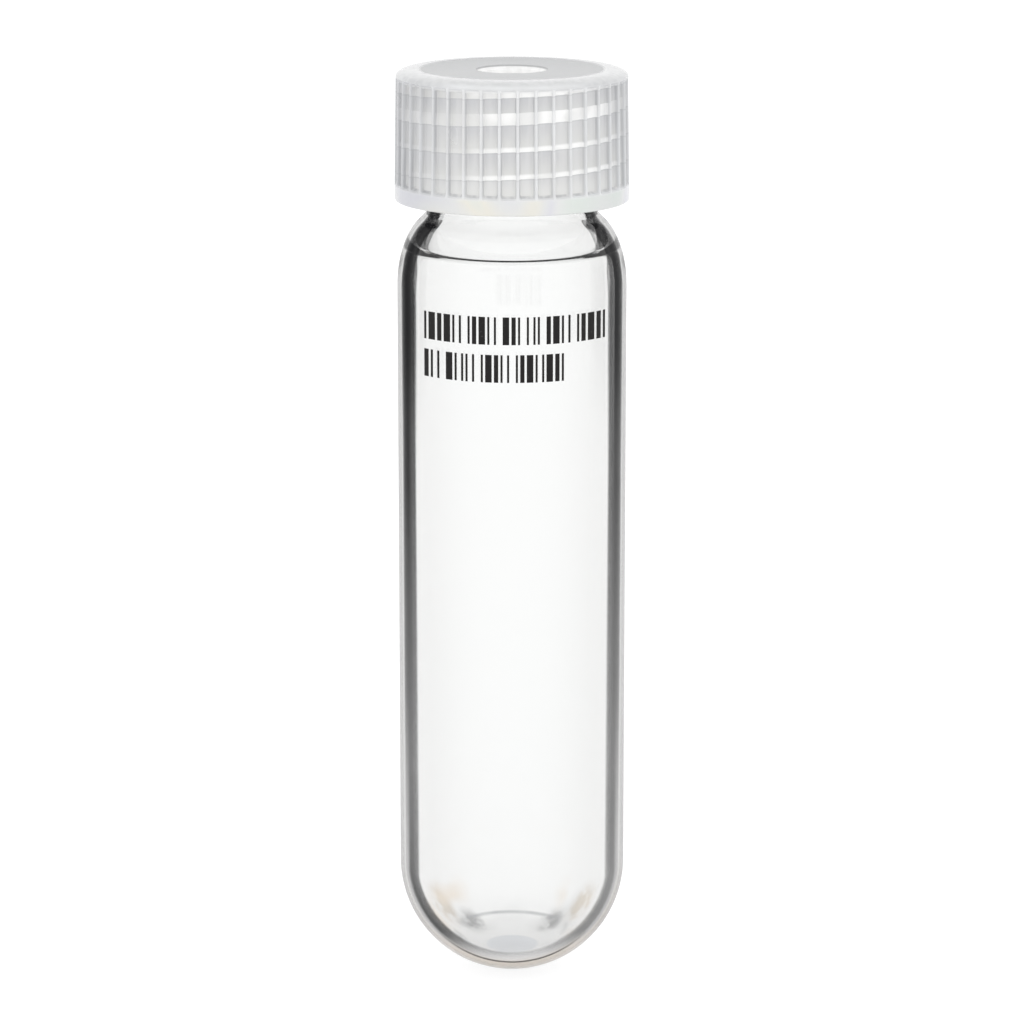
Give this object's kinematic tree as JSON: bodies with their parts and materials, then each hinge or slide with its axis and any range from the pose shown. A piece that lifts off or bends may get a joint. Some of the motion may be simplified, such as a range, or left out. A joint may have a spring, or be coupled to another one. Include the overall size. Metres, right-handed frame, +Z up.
{
  "type": "screw-cap test tube",
  "caption": "Clear round-bottomed glass tube with a threaded neck, closed by a ribbed open-top screw cap over a faced septum.",
  "frame": {"origin": "lowest point of the tube's round bottom, on the tube's axis", "axes": "+Z up along the tube's axis, towards the cap; -Y is the front, the side with the printed marking"},
  "size_m": [0.028, 0.028, 0.1114],
  "materials": {
    "glass": "clear, polished",
    "cap_plastic": "natural translucent, satin",
    "silicone": "matte white",
    "facing_film": "smooth white"
  },
  "bodies": {
    "tube": {"glass_tube": "glass"},
    "seal": {"septum": "silicone", "septum_facing": "facing_film"},
    "cap": {"screw_cap": "cap_plastic"}
  },
  "joints": [
    {"name": "cap_lift", "type": "slide", "parent": "tube", "child": "seal", "axis": [0, 0, 1], "range_m": [0, 0.016]},
    {"name": "cap_turn", "type": "hinge", "parent": "seal", "child": "cap", "pos_m": [0, 0, 0.1114], "axis": [0, 0, 1], "range_deg": [0, 1800]}
  ],
  "couplings": [
    {"joint": "cap_lift", "follows": "cap_turn", "m_per_rad": 0.00050532}
  ]
}
